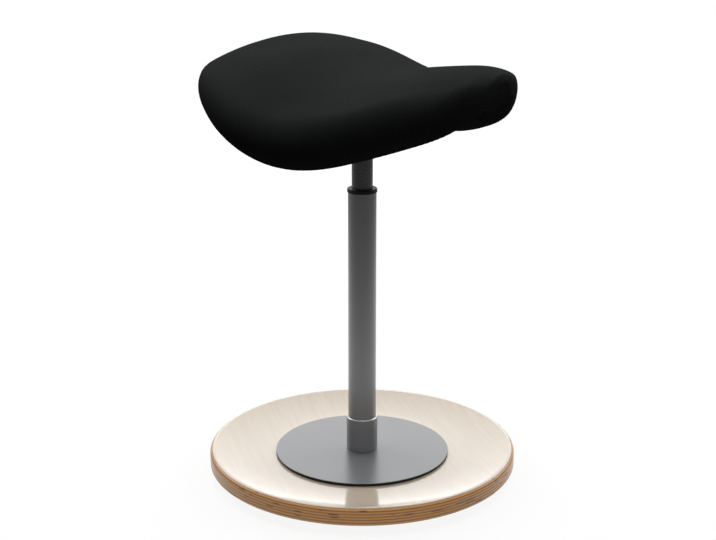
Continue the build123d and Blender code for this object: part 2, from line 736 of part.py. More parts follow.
PIECES = [
    rocker_plate, floor_pad, base_disc, disc_screws, column_collar, column_bolt, bolt_washer,
    column_foot, column_tube, tube_floor, guide_bush, lower_race, bearing_rollers, roller_cage,
    upper_race, bump_stop, piston_rod, rod_washer, rod_clip, piston, piston_ring, gas_cylinder,
    rod_guide, rod_seal, release_pin, seat_hub, seat_carrier, seat_block, block_inserts,
    seat_bolts, seat_washers, pivot_pin, pivot_clip, pivot_spacers, release_lever, lever_grip,
    seat_shell, seat_foam, seat_cover,
]

os.makedirs("parts", exist_ok=True)
for piece in PIECES:
    export_step(piece(), f"parts/{piece.__name__}.step")
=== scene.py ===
import math

import bpy
import numpy as np
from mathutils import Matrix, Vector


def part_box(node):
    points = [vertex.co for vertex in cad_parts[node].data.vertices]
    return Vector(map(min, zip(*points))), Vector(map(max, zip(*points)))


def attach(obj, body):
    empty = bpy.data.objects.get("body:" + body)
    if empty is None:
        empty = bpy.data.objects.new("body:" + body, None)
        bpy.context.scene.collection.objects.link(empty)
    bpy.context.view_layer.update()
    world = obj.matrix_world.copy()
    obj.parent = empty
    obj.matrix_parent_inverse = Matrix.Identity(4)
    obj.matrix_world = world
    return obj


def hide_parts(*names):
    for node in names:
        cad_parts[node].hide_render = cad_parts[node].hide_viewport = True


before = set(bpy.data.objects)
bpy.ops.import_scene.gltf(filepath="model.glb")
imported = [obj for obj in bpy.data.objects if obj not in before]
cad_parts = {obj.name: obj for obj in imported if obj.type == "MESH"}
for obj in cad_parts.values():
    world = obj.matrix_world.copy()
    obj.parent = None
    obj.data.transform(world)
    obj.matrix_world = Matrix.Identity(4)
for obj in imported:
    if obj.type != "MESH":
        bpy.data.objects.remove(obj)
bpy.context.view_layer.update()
scene = bpy.context.scene
scene.view_settings.view_transform = "Standard"


# Camera: a long lens in front of the stool, to the sitter's right and above the saddle,
# looking down on the dished plate. Nothing of it is shifted or tilted sideways.
CAMERA_PLACE = (-1.4846, -1.0717, 0.828)
CAMERA_PITCH = 16.46
CAMERA_HEADING = -54.0
SENSOR_WIDTH = 36.0
LENS = 71.65

camera = bpy.data.objects.new("camera", bpy.data.cameras.new("camera"))
camera.data.sensor_width = SENSOR_WIDTH
camera.data.lens = LENS
camera.location = CAMERA_PLACE
camera.rotation_euler = (math.radians(90 - CAMERA_PITCH), 0, math.radians(CAMERA_HEADING))
scene.collection.objects.link(camera)
scene.camera = camera


# Studio: a pale floor that fades into a white room, a soft box overhead, one on each side behind the
# stool, a tall one straight behind it, and two weak ones, low on the right and in front. The room is
# white to the lens, pale in mirrors and dim as a light, and mirrors see the floor brightest near the base.
FLOOR_SPAN = 40.0
FLOOR_GREY = "#5C5C5C"
FLOOR_GLOW = 0.9
FLOOR_FADE = (0.7, 1.8)
WHITE = "#FFFFFF"
ROOM_LIGHT = 0.04
ROOM_GLOSS = 0.8
LIT_SPOT = (0.28, 0.2, 0.0)
LIT_GLOSS = (1.4, 0.25)
LIT_FADE = (0.6, 1.5)
# Each soft box: name, place, aim, size, watts, spread in degrees, and whether mirrors show it.
SOFT_BOXES = [
    ("overhead", (0.0, 0.0, 2.6), (0.0, 0.0, 0.0), (2.4, 2.4), 41.0, 180, True),
    ("left_behind", (0.0, 2.1, 1.5), (0.0, 0.0, 0.2), (1.5, 1.5), 22.0, 180, True),
    ("right_behind", (2.0, -0.7, 1.5), (0.0, 0.0, 0.2), (1.5, 1.5), 22.0, 180, True),
    ("backdrop", (2.0, 1.46, 2.35), (0.0, 0.0, 2.35), (3.2, 4.6), 64.0, 180, True),
    ("right_low", (0.72, -1.87, 0.5), (0.0, 0.0, 0.5), (0.4, 0.8), 1.3, 180, False),
    ("low_front", (-1.25, -0.9, 0.1), (0.0, 0.0, 0.02), (0.9, 0.16), 0.32, 30, False),
]


def linear(code):
    """Linear RGBA of an sRGB hex colour, by the sRGB curve."""
    srgb = np.array([int(code[i:i + 2], 16) for i in (1, 3, 5)]) / 255
    low = srgb / 12.92
    high = ((srgb + 0.055) / 1.055) ** 2.4
    return (*np.where(srgb <= 0.04045, low, high).tolist(), 1.0)


def add(tree, kind, inputs=None, **settings):
    """Adds a shader node; inputs maps its sockets to values or to the outputs that feed them."""
    node = tree.nodes.new("ShaderNode" + kind)
    for name, value in settings.items():
        setattr(node, name, value)
    for socket, value in (inputs or {}).items():
        if isinstance(value, bpy.types.NodeSocket):
            tree.links.new(value, node.inputs[socket])
        else:
            node.inputs[socket].default_value = value
    return node


def new_material(name):
    """Empty node material; returns it with its tree and its Object coordinates."""
    material = bpy.data.materials.new(name)
    material.use_nodes = True
    material.node_tree.nodes.clear()
    place = add(material.node_tree, "TexCoord").outputs["Object"]
    return material, material.node_tree, place


def seen_directly(tree, gloss_level):
    """1 for rays from the lens, gloss_level for rays off mirrors or through glass, 0 for matt bounces."""
    path = add(tree, "LightPath").outputs
    gloss = add(tree, "Math", {0: path["Is Glossy Ray"], 1: path["Is Transmission Ray"]}, operation="MAXIMUM")
    pale = add(tree, "Math", {0: gloss.outputs[0], 1: gloss_level}, operation="MULTIPLY")
    return add(tree, "Math", {0: path["Is Camera Ray"], 1: pale.outputs[0]}, operation="MAXIMUM").outputs[0]


world = bpy.data.worlds.new("white_room")
scene.world = world
world.use_nodes = True
world.cycles.sampling_method = "NONE"
tree = world.node_tree
tree.nodes.clear()
strength = add(tree, "MapRange", {"Value": seen_directly(tree, ROOM_GLOSS),
                                  "To Min": ROOM_LIGHT, "To Max": 1.0})
room = add(tree, "Background", {"Color": linear(WHITE), "Strength": strength.outputs[0]})
add(tree, "OutputWorld", {"Surface": room.outputs[0]})

half = FLOOR_SPAN / 2
floor_mesh = bpy.data.meshes.new("floor")
floor_mesh.from_pydata([(-half, -half, 0), (half, -half, 0), (half, half, 0), (-half, half, 0)], [],
                       [(0, 1, 2, 3)])
floor = bpy.data.objects.new("floor", floor_mesh)
scene.collection.objects.link(floor)

# Floor paint: matt, and it glows white to the lens, so that little but the stool's shadow shows.
floor_paint, tree, place = new_material("floor_paint")
away = add(tree, "VectorMath", {0: place}, operation="LENGTH").outputs["Value"]
from_spot = add(tree, "VectorMath", {0: place, 1: LIT_SPOT}, operation="DISTANCE").outputs["Value"]
mirrored = add(tree, "MapRange", {"Value": from_spot, "From Min": LIT_FADE[0], "From Max": LIT_FADE[1],
                                  "To Min": LIT_GLOSS[0], "To Max": LIT_GLOSS[1]}).outputs[0]
fade = add(tree, "MapRange", {"Value": away, "From Min": FLOOR_FADE[0], "From Max": FLOOR_FADE[1],
                              "To Min": FLOOR_GLOW, "To Max": 1.0},
           interpolation_type="SMOOTHSTEP").outputs[0]
matt = add(tree, "BsdfDiffuse", {"Color": linear(FLOOR_GREY)})
glow_level = add(tree, "Math", {0: seen_directly(tree, mirrored), 1: fade}, operation="MULTIPLY")
glow = add(tree, "Emission", {"Color": linear(WHITE), "Strength": glow_level.outputs[0]})
both = add(tree, "AddShader", {0: matt.outputs[0], 1: glow.outputs[0]})
add(tree, "OutputMaterial", {"Surface": both.outputs[0]})
floor_mesh.materials.append(floor_paint)

for name, place, aim, size, watts, spread, in_mirrors in SOFT_BOXES:
    lamp = bpy.data.lights.new(name, "AREA")
    lamp.shape = "RECTANGLE"
    lamp.size, lamp.size_y = size
    lamp.energy = watts
    lamp.spread = math.radians(spread)
    soft_box = bpy.data.objects.new(name, lamp)
    soft_box.location = place
    soft_box.visible_glossy = in_mirrors
    aim_line = Vector(aim) - Vector(place)
    soft_box.rotation_euler = aim_line.to_track_quat("-Z", "Y").to_euler()
    scene.collection.objects.link(soft_box)


# Rocker plate: birch plywood pressed in a dished mould, its upper edge rounded over and the
# face veneer lacquered clear. The round edge cuts through the brown plies and their glue lines.
DISC_MARGIN = 0.004
PLATE_SWEEP = 0.294
PLATE_THICK = 0.024
PLY_COUNT = 13
PLY_CHANGE = (0.42, 0.58)
PLY_WANDER = 0.35
WANDER_LENGTH = 0.0167
FIBRE_WIDTH = 0.00111
FIBRE_SHADE = (0.86, 1.1)
GAP_LENGTH = 0.03
GAP_PATCHES = (0.64, 0.69)
GAP_IN_PLY = (0.15, 0.35)
VENEER_ENDS = (0.65, 0.85)
GRAIN_HEADING = 52.0
GRAIN_WIDTH = 0.009
GRAIN_LENGTH = 0.11
GRAIN_STREAKS = (0.42, 0.72)
LACQUER = (1.0, 0.25)
VENEER_PALE = "#C3B29C"
VENEER_STREAK = "#BDAB95"
PLY_LIGHT = "#D09858"
PLY_DARK = "#9A6730"
PLY_GAP = "#3A2411"


def dress(material, *nodes):
    """Gives CAD nodes one material all over."""
    for node in nodes:
        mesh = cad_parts[node].data
        mesh.materials.clear()
        mesh.materials.append(material)


disc_low, disc_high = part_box("base_disc")
flat_radius = disc_high.x + DISC_MARGIN
plate_top = disc_low.z
ply = PLATE_THICK / PLY_COUNT

# Birch under clear lacquer: pale and faintly streaked, with a sharp gloss on its face. How deep a
# point lies under the swept face gives its ply, light or dark, with short dark gaps in some plies.
birch, tree, place = new_material("lacquered_birch_plywood")
axes = add(tree, "SeparateXYZ", {0: place}).outputs
flat_place = add(tree, "CombineXYZ", {0: axes[0], 1: axes[1]}).outputs[0]
radius = add(tree, "VectorMath", {0: flat_place}, operation="LENGTH").outputs["Value"]
past_flat = add(tree, "Math", {0: radius, 1: flat_radius}, operation="SUBTRACT").outputs[0]
over = add(tree, "Math", {0: past_flat, 1: 0.0}, operation="MAXIMUM").outputs[0]
rise = add(tree, "Math", {0: plate_top + PLATE_SWEEP, 1: axes[2]}, operation="SUBTRACT").outputs[0]
from_centre = add(tree, "CombineXYZ", {0: over, 1: rise}).outputs[0]
sweep_now = add(tree, "VectorMath", {0: from_centre}, operation="LENGTH").outputs["Value"]
depth = add(tree, "Math", {0: sweep_now, 1: PLATE_SWEEP}, operation="SUBTRACT").outputs[0]
plies_down = add(tree, "Math", {0: depth, 1: ply}, operation="DIVIDE").outputs[0]
edge_wander = add(tree, "TexNoise", {"Vector": place, "Scale": 1 / WANDER_LENGTH, "Detail": 3.0}).outputs[0]
wander = add(tree, "Math", {0: edge_wander, 1: PLY_WANDER, 2: plies_down},
             operation="MULTIPLY_ADD").outputs[0]
layer = add(tree, "Math", {0: wander}, operation="FRACT").outputs[0]
pair = add(tree, "Math", {0: wander, 1: 1.0}, operation="PINGPONG").outputs[0]
cross_ply = add(tree, "MapRange", {"Value": pair, "From Min": PLY_CHANGE[0],
                                   "From Max": PLY_CHANGE[1]}).outputs[0]
ply_colour = add(tree, "Mix", {0: cross_ply, 6: linear(PLY_LIGHT), 7: linear(PLY_DARK)},
                 data_type="RGBA").outputs[2]
ply_number = add(tree, "Math", {0: wander}, operation="FLOOR").outputs[0]
ply_place = add(tree, "CombineXYZ", {0: axes[0], 1: axes[1], 2: ply_number}).outputs[0]
patch = add(tree, "TexNoise", {"Vector": ply_place, "Scale": 1 / GAP_LENGTH, "Detail": 1.0}).outputs[0]
gap_share = add(tree, "MapRange", {"Value": patch, "From Min": GAP_PATCHES[0],
                                   "From Max": GAP_PATCHES[1]}).outputs[0]
ply_middle = add(tree, "MapRange", {"Value": layer, "From Min": GAP_IN_PLY[0],
                                    "From Max": GAP_IN_PLY[1]}).outputs[0]
gap_here = add(tree, "Math", {0: ply_middle, 1: gap_share}, operation="MULTIPLY").outputs[0]
ply_colour = add(tree, "Mix", {0: gap_here, 6: ply_colour, 7: linear(PLY_GAP)}, data_type="RGBA").outputs[2]
fibre = add(tree, "TexNoise", {"Vector": place, "Scale": 1 / FIBRE_WIDTH, "Detail": 2.0}).outputs[0]
fibre_share = add(tree, "MapRange", {"Value": fibre, "To Min": FIBRE_SHADE[0],
                                     "To Max": FIBRE_SHADE[1]}).outputs[0]
ply_colour = add(tree, "Mix", {0: 1.0, 6: ply_colour, 7: fibre_share}, data_type="RGBA",
                 blend_type="MULTIPLY").outputs[2]
grain_way = add(tree, "Mapping", {"Vector": place, "Rotation": (0, 0, -math.radians(GRAIN_HEADING))})
stretch = add(tree, "VectorMath", {0: grain_way.outputs[0], 1: (1 / GRAIN_LENGTH, 1 / GRAIN_WIDTH, 1.0)},
              operation="MULTIPLY").outputs[0]
grain = add(tree, "TexNoise", {"Vector": stretch, "Scale": 1.0, "Detail": 4.0, "Distortion": 1.2}).outputs[0]
streak = add(tree, "MapRange", {"Value": grain, "From Min": GRAIN_STREAKS[0],
                                "From Max": GRAIN_STREAKS[1]}).outputs[0]
veneer = add(tree, "Mix", {0: streak, 6: linear(VENEER_PALE), 7: linear(VENEER_STREAK)},
             data_type="RGBA").outputs[2]
below_face = add(tree, "MapRange", {"Value": plies_down, "From Min": VENEER_ENDS[0],
                                    "From Max": VENEER_ENDS[1]}).outputs[0]
wood_colour = add(tree, "Mix", {0: below_face, 6: veneer, 7: ply_colour}, data_type="RGBA").outputs[2]
pores = add(tree, "Bump", {"Height": grain, "Strength": 0.05, "Distance": 0.0004}).outputs[0]
lacquer = add(tree, "MapRange", {"Value": below_face, "To Min": LACQUER[0], "To Max": LACQUER[1]}).outputs[0]
shader = add(tree, "BsdfPrincipled", {"Base Color": wood_colour, "Roughness": 0.5, "Normal": pores,
                                      "Coat Weight": lacquer, "Coat Roughness": 0.07, "Coat IOR": 1.6})
add(tree, "OutputMaterial", {"Surface": shader.outputs[0]})
dress(birch, "rocker_plate")


# Floor pad: black rubber disc glued into the plate's underside, the only part that meets the floor.
# The column's bump stop and the seals of the gas spring are moulded from the same rubber.
RUBBER_BLACK = "#1B1B1B"
RUBBER_GRIT = 0.0012

# Moulded rubber: near black and dull, with the fine grit of its mould.
rubber, tree, place = new_material("moulded_rubber")
grit = add(tree, "TexNoise", {"Vector": place, "Scale": 1 / RUBBER_GRIT, "Detail": 2.0}).outputs[0]
dull = add(tree, "MapRange", {"Value": grit, "To Min": 0.75, "To Max": 0.95}).outputs[0]
skin = add(tree, "Bump", {"Height": grit, "Strength": 0.3, "Distance": 0.0003}).outputs[0]
shader = add(tree, "BsdfPrincipled", {"Base Color": linear(RUBBER_BLACK), "Roughness": dull, "Normal": skin})
add(tree, "OutputMaterial", {"Surface": shader.outputs[0]})
dress(rubber, "floor_pad", "bump_stop", "rod_seal", "piston_ring")


# Disc, collar and column tube: mild steel, the collar welded to the disc and the tube bolted down
# inside it, all sprayed the same satin silver-grey. The tube and collar are given a darker grey than
# the disc, as painted shade on their upright sides. The collar's lip is turned bright, and the disc's
# laser-cut upright edge is painted near black as painted shade. Satin paint gives broad soft
# highlights with a faint orange peel in them.
PAINT_GREY = "#7A7B7E"
PAINT_SHADE = "#717275"
# The tube's greys are the disc's paint made darker: painted shade on the upright tube and collar.
TUBE_GREY_WITH_PAINTED_SHADE = "#68696C"
TUBE_CLOUD_WITH_PAINTED_SHADE = "#606164"
TUBE_IOR = 1.85
SATIN = 0.3
SATIN_SPREAD = 0.04
PAINT_CLOUD = 0.0556
PAINT_PEEL = 0.0022
BRIGHT_STEEL = "#A9A9A7"
BRIGHT_RIM = 0.0007
# Near black for the disc's upright edge: painted shade.
EDGE_PAINTED_SHADE = "#1E1E1F"
EDGE_FACING = 0.3


def painted(name, pale, shade, roughness, bright_above=None, ior=1.6):
    """Sprayed steel: colour clouds and orange peel from noise, bare steel above a height."""
    material, tree, place = new_material(name)
    cloud = add(tree, "TexNoise", {"Vector": place, "Scale": 1 / PAINT_CLOUD, "Detail": 3.0}).outputs[0]
    colour = add(tree, "Mix", {0: cloud, 6: linear(pale), 7: linear(shade)}, data_type="RGBA").outputs[2]
    peel = add(tree, "TexNoise", {"Vector": place, "Scale": 1 / PAINT_PEEL, "Detail": 1.0}).outputs[0]
    gloss = add(tree, "MapRange", {"Value": peel, "To Min": roughness - SATIN_SPREAD,
                                   "To Max": roughness + SATIN_SPREAD}).outputs[0]
    skin = add(tree, "Bump", {"Height": peel, "Strength": 0.08, "Distance": 0.0002}).outputs[0]
    settings = {"Base Color": colour, "Roughness": gloss, "Normal": skin, "IOR": ior}
    if bright_above is not None:
        height = add(tree, "SeparateXYZ", {0: place}).outputs[2]
        bare = add(tree, "Math", {0: height, 1: bright_above}, operation="GREATER_THAN").outputs[0]
        settings["Base Color"] = add(tree, "Mix", {0: bare, 6: colour, 7: linear(BRIGHT_STEEL)},
                                     data_type="RGBA").outputs[2]
        settings["Metallic"] = bare
    shader = add(tree, "BsdfPrincipled", settings)
    add(tree, "OutputMaterial", {"Surface": shader.outputs[0]})
    return material


bright_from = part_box("column_collar")[1].z - BRIGHT_RIM
dress(painted("silver_grey_paint", PAINT_GREY, PAINT_SHADE, SATIN), "base_disc")
# Tube and collar take the darker greys as painted shade; their real paint is the disc's.
dress(painted("tube_paint_with_painted_shade", TUBE_GREY_WITH_PAINTED_SHADE, TUBE_CLOUD_WITH_PAINTED_SHADE, SATIN, ior=TUBE_IOR), "column_tube")
dress(painted("collar_paint_with_painted_shade_bright_lip", TUBE_GREY_WITH_PAINTED_SHADE, TUBE_CLOUD_WITH_PAINTED_SHADE, SATIN, bright_from, TUBE_IOR),
      "column_collar")
# Faces of the disc that face sideways get the near-black second material, as painted shade on its edge.
disc_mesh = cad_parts["base_disc"].data
disc_mesh.materials.append(painted("disc_edge_painted_shade", EDGE_PAINTED_SHADE, EDGE_PAINTED_SHADE, 0.5, ior=1.3))
facing = np.empty(3 * len(disc_mesh.polygons))
disc_mesh.polygons.foreach_get("normal", facing)
disc_mesh.polygons.foreach_set("material_index", (np.abs(facing[2::3]) < EDGE_FACING).astype(np.int32))


# Fasteners: cold-formed steel screws, bolts, washers, clips and inserts, zinc plated bright. The
# plug in the tube's foot and the floor inside the tube are plated the same way.
ZINC = "#B9BCC2"
ZINC_SPANGLE = 0.0015

# Bright zinc: a cool satin mirror, broken up by a fine spangle.
zinc, tree, place = new_material("bright_zinc_plate")
spangle = add(tree, "TexNoise", {"Vector": place, "Scale": 1 / ZINC_SPANGLE, "Detail": 2.0}).outputs[0]
satin = add(tree, "MapRange", {"Value": spangle, "To Min": 0.22, "To Max": 0.4}).outputs[0]
shader = add(tree, "BsdfPrincipled", {"Base Color": linear(ZINC), "Metallic": 1.0, "Roughness": satin})
add(tree, "OutputMaterial", {"Surface": shader.outputs[0]})
dress(zinc, "disc_screws", "column_bolt", "bolt_washer", "column_foot", "tube_floor", "rod_washer",
      "rod_clip", "block_inserts", "seat_bolts", "seat_washers", "pivot_pin", "pivot_clip")


# Swivel bearing: hardened washers and rollers, ground and oiled, in a natural nylon cage.
# The rod guide and the lever's spacers are the same nylon.
BEARING_STEEL = "#A4A6AA"
GRIND_PITCH = 0.0004
NYLON = "#DAD5C6"
NYLON_CLOUD = 0.00333

# Ground steel: bright, with the fine uneven polish that grinding leaves.
ground, tree, place = new_material("ground_bearing_steel")
lines = add(tree, "TexNoise", {"Vector": place, "Scale": 1 / GRIND_PITCH}).outputs[0]
sheen = add(tree, "MapRange", {"Value": lines, "To Min": 0.12, "To Max": 0.26}).outputs[0]
shader = add(tree, "BsdfPrincipled", {"Base Color": linear(BEARING_STEEL), "Metallic": 1.0,
                                      "Roughness": sheen})
add(tree, "OutputMaterial", {"Surface": shader.outputs[0]})
dress(ground, "lower_race", "upper_race", "bearing_rollers")

# Natural nylon: milky and waxy, since light goes a little way in.
nylon, tree, place = new_material("natural_nylon")
cloud = add(tree, "TexNoise", {"Vector": place, "Scale": 1 / NYLON_CLOUD}).outputs[0]
dull = add(tree, "MapRange", {"Value": cloud, "To Min": 0.4, "To Max": 0.55}).outputs[0]
shader = add(tree, "BsdfPrincipled", {"Base Color": linear(NYLON), "Roughness": dull,
                                      "Subsurface Weight": 0.2,
                                      "Subsurface Radius": (0.002, 0.002, 0.0015)})
add(tree, "OutputMaterial", {"Surface": shader.outputs[0]})
dress(nylon, "roller_cage", "rod_guide", "pivot_spacers")


# Guide bush: black plastic, pressed into the top of the tube so that its flange shows. The lever's
# grip and the shell under the foam are moulded from a plastic with the same fine spark grain.
PLASTIC_BLACK = "#0E0E0E"
SPARK_GRAIN = 0.0008

# Moulded black plastic: a dull grain with hardly any gloss.
plastic, tree, place = new_material("black_moulded_plastic")
grain = add(tree, "TexNoise", {"Vector": place, "Scale": 1 / SPARK_GRAIN, "Detail": 2.0}).outputs[0]
dull = add(tree, "MapRange", {"Value": grain, "To Min": 0.38, "To Max": 0.55}).outputs[0]
skin = add(tree, "Bump", {"Height": grain, "Strength": 0.15, "Distance": 0.0001}).outputs[0]
shader = add(tree, "BsdfPrincipled", {"Base Color": linear(PLASTIC_BLACK), "Roughness": dull, "Normal": skin,
                                      "Specular IOR Level": 0.12})
add(tree, "OutputMaterial", {"Surface": shader.outputs[0]})
dress(plastic, "guide_bush", "lever_grip", "seat_shell")


# Gas spring: a dark painted cylinder that slides in the bush, with a hard-chromed rod and valve
# pin and a turned aluminium piston inside it.
CYLINDER_GREY = "#535456"
CYLINDER_SHADE = "#494A4C"
CHROME = "#E2E4E6"
CHROME_HAZE = 0.0025
TURNED_ALUMINIUM = "#B4B6BA"
TURNING_PITCH = 0.0005

dress(painted("dark_grey_paint", CYLINDER_GREY, CYLINDER_SHADE, 0.28, ior=1.5), "gas_cylinder")

# Hard chrome: a clear mirror under a slight haze.
chrome, tree, place = new_material("hard_chrome")
haze = add(tree, "TexNoise", {"Vector": place, "Scale": 1 / CHROME_HAZE}).outputs[0]
polish = add(tree, "MapRange", {"Value": haze, "To Min": 0.04, "To Max": 0.1}).outputs[0]
shader = add(tree, "BsdfPrincipled", {"Base Color": linear(CHROME), "Metallic": 1.0, "Roughness": polish})
add(tree, "OutputMaterial", {"Surface": shader.outputs[0]})
dress(chrome, "piston_rod", "release_pin")

# Turned aluminium: soft grey, ringed by the tool's feed.
turned, tree, place = new_material("turned_aluminium")
height = add(tree, "SeparateXYZ", {0: place}).outputs[2]
along = add(tree, "CombineXYZ", {2: height}).outputs[0]
rings = add(tree, "TexNoise", {"Vector": along, "Scale": 1 / TURNING_PITCH}).outputs[0]
feed = add(tree, "MapRange", {"Value": rings, "To Min": 0.2, "To Max": 0.4}).outputs[0]
shader = add(tree, "BsdfPrincipled", {"Base Color": linear(TURNED_ALUMINIUM), "Metallic": 1.0,
                                      "Roughness": feed})
add(tree, "OutputMaterial", {"Surface": shader.outputs[0]})
dress(turned, "piston")


# Hub, carrier and release lever: turned, pressed and bent steel, powder coated black. The coat is
# duller than the column's paint, with the same slight peel.
POWDER_BLACK = "#191919"
POWDER_SHADE = "#121212"
POWDER_DULL = 0.45

dress(painted("black_powder_coat", POWDER_BLACK, POWDER_SHADE, POWDER_DULL),
      "seat_hub", "seat_carrier", "release_lever")


# Seat block: sawn plywood glued under the shell, left raw, its plies flat across the column.
# Raw plywood shows stripes of light and dark plies, dull and a little furry from the saw.
BLOCK_LIGHT = "#B98F5E"
BLOCK_DARK = "#8C6539"
BLOCK_PLY = 0.0018
SAW_FUR = 0.00143

raw_ply, tree, place = new_material("raw_plywood")
height = add(tree, "SeparateXYZ", {0: place}).outputs[2]
layers = add(tree, "Math", {0: height, 1: BLOCK_PLY}, operation="DIVIDE").outputs[0]
swing = add(tree, "Math", {0: layers, 1: 1.0}, operation="PINGPONG").outputs[0]
cross_ply = add(tree, "MapRange", {"Value": swing, "From Min": PLY_CHANGE[0],
                                   "From Max": PLY_CHANGE[1]}).outputs[0]
stripes = add(tree, "Mix", {0: cross_ply, 6: linear(BLOCK_LIGHT), 7: linear(BLOCK_DARK)},
              data_type="RGBA").outputs[2]
fibre = add(tree, "TexNoise", {"Vector": place, "Scale": 1 / SAW_FUR, "Detail": 3.0}).outputs[0]
furry = add(tree, "Bump", {"Height": fibre, "Strength": 0.2, "Distance": 0.0004}).outputs[0]
shader = add(tree, "BsdfPrincipled", {"Base Color": stripes, "Roughness": 0.8, "Normal": furry})
add(tree, "OutputMaterial", {"Surface": shader.outputs[0]})
dress(raw_ply, "seat_block")


# Saddle: moulded foam on the shell, in a stretched black knitted cover that is drawn round the rim
# and gathered under the shell. Each line across it says how far it lies in front of the column, its
# half width, ridge and rim heights at mid thickness, thickness and the radius of its rolled rim.
SADDLE_HEIGHT = 0.5555
SADDLE_LINES = np.array([
    (0.212, 0.006, 0.005, 0.003, 0.004, 0.0015),
    (0.210, 0.016, 0.005, 0.000, 0.014, 0.005),
    (0.205, 0.035, 0.000, -0.012, 0.028, 0.011),
    (0.197, 0.052, -0.003, -0.022, 0.038, 0.018),
    (0.175, 0.077, -0.006, -0.045, 0.050, 0.026),
    (0.140, 0.104, -0.010, -0.061, 0.052, 0.032),
    (0.090, 0.150, -0.015, -0.076, 0.048, 0.034),
    (0.040, 0.183, -0.017, -0.086, 0.045, 0.035),
    (-0.010, 0.198, -0.004, -0.084, 0.046, 0.035),
    (-0.060, 0.203, 0.007, -0.062, 0.051, 0.033),
    (-0.105, 0.190, 0.010, -0.031, 0.050, 0.028),
    (-0.123, 0.176, 0.015, -0.014, 0.043, 0.020),
    (-0.132, 0.155, 0.020, 0.000, 0.028, 0.012),
    (-0.138, 0.130, 0.025, 0.011, 0.013, 0.005),
    (-0.140, 0.116, 0.026, 0.015, 0.004, 0.0015),
])
OPENING_SHARE = 0.72
OPENING_FRONT = 0.165
OPENING_REAR = -0.098
OPENING_SQUARE = 4
LEAST_OPEN = 0.02
LINES_ACROSS = 400
OPENING_STEPS = 8
HEM_STEPS = 24
RIM_STEPS = 22
CROWN_STEPS = 26
UNDER_STEPS = 60
EVEN_PASSES = 10
EVEN_SHARES = [0.5, -0.53]
START_INSET = 0.0025
VOXEL = 0.005
PRESSURE = 4.0
SETTLE_FRAMES = 20
MOST_MOVE = 0.003
SWELL_MARGIN = 0.15
SWELL_RAMP = 0.2
SWELL_PASSES = 6

opening_middle = (OPENING_FRONT + OPENING_REAR) / 2


def smooth_through(at, known, values):
    """Natural cubic spline through values at known places: second slopes solve a banded system."""
    step = np.diff(known)[:, None]
    slope = np.diff(values, axis=0) / step
    size = len(known)
    system = np.eye(size)
    inner = np.arange(1, size - 1)
    system[inner, inner - 1] = step[:-1, 0]
    system[inner, inner] = 2 * (step[:-1, 0] + step[1:, 0])
    system[inner, inner + 1] = step[1:, 0]
    right = np.zeros_like(values)
    right[1:-1] = 6 * np.diff(slope, axis=0)
    bend = np.linalg.solve(system, right)
    span = np.clip(np.searchsorted(known, at) - 1, 0, size - 2)
    gap = step[span]
    past = (at - known[span])[:, None]
    left = gap - past
    return ((bend[span] * left ** 3 + bend[span + 1] * past ** 3) / (6 * gap)
            + (values[span] / gap - bend[span] * gap / 6) * left
            + (values[span + 1] / gap - bend[span + 1] * gap / 6) * past)


def saddle_surface(inset):
    """Closed saddle as a grid of lines across it and steps round each line, in metres.

    Each given line is an underside arc, a rim arc and a crown arc, tangent where they meet and
    drawn in by the inset, and a spline carries every step of it through the lines. The underside's
    steps are then shared out afresh, so that the edge of the cover's opening runs along the grid.
    """
    reach, width, ridge, rim, thick, roll = SADDLE_LINES.T[:, :, None]
    slope = 2 * np.arctan2(ridge - rim, width)
    rim_x = width - roll * np.cos(slope)
    rim_z = rim + roll * np.sin(slope)
    top = ridge + thick / 2
    bottom = ridge - thick / 2
    square = rim_x ** 2 - roll ** 2
    crown_radius = (square + (top - rim_z) ** 2) / (2 * (top - rim_z - roll))
    under_radius = (square + (bottom - rim_z) ** 2) / (2 * (roll + bottom - rim_z))
    crown_turn = np.arctan2(rim_x, rim_z - top + crown_radius)
    under_turn = np.arctan2(rim_x, rim_z - bottom + under_radius)
    drawn_in = np.minimum(inset, roll / 2)
    under = np.linspace(0, 1, UNDER_STEPS, endpoint=False) * under_turn
    rolled = crown_turn + np.linspace(1, 0, RIM_STEPS, endpoint=False) * (np.pi + under_turn - crown_turn)
    crown = np.linspace(1, 0, CROWN_STEPS + 1) * crown_turn
    x = np.concatenate([(under_radius + drawn_in) * np.sin(under), rim_x + (roll - drawn_in) * np.sin(rolled),
                        (crown_radius - drawn_in) * np.sin(crown)], axis=1)
    z = np.concatenate([bottom - under_radius + (under_radius + drawn_in) * np.cos(under),
                        rim_z + (roll - drawn_in) * np.cos(rolled),
                        top - crown_radius + (crown_radius - drawn_in) * np.cos(crown)], axis=1)
    half = np.stack([x, np.broadcast_to(-reach, x.shape), z + SADDLE_HEIGHT], axis=2)
    gaps = np.linalg.norm(np.diff(half, axis=0), axis=2).mean(axis=1)
    known = np.cumsum(np.r_[0, gaps])
    at = np.linspace(0, known[-1], LINES_ACROSS)
    half = smooth_through(at, known, half.reshape(len(known), -1)).reshape(LINES_ACROSS, -1, 3)

    along = np.clip(np.abs(half[:, :1, 1] + opening_middle) / (OPENING_FRONT - opening_middle), 0, 1)
    open_share = np.maximum(OPENING_SHARE * np.sqrt(1 - along ** OPENING_SQUARE), LEAST_OPEN)
    in_opening = np.linspace(0, 1, OPENING_STEPS, endpoint=False) * open_share
    in_hem = np.linspace(0, 1, HEM_STEPS, endpoint=False) * (1 - open_share) + open_share
    share = np.concatenate([in_opening, in_hem], axis=1)
    before = (share * UNDER_STEPS).astype(int)
    past = (share * UNDER_STEPS - before)[:, :, None]
    row = np.arange(LINES_ACROSS)[:, None]
    under = half[row, before] * (1 - past) + half[row, before + 1] * past
    half = np.concatenate([under, half[:, UNDER_STEPS:]], axis=1)
    return np.concatenate([half * (-1, 1, 1), half[:, -2:0:-1]], axis=1)


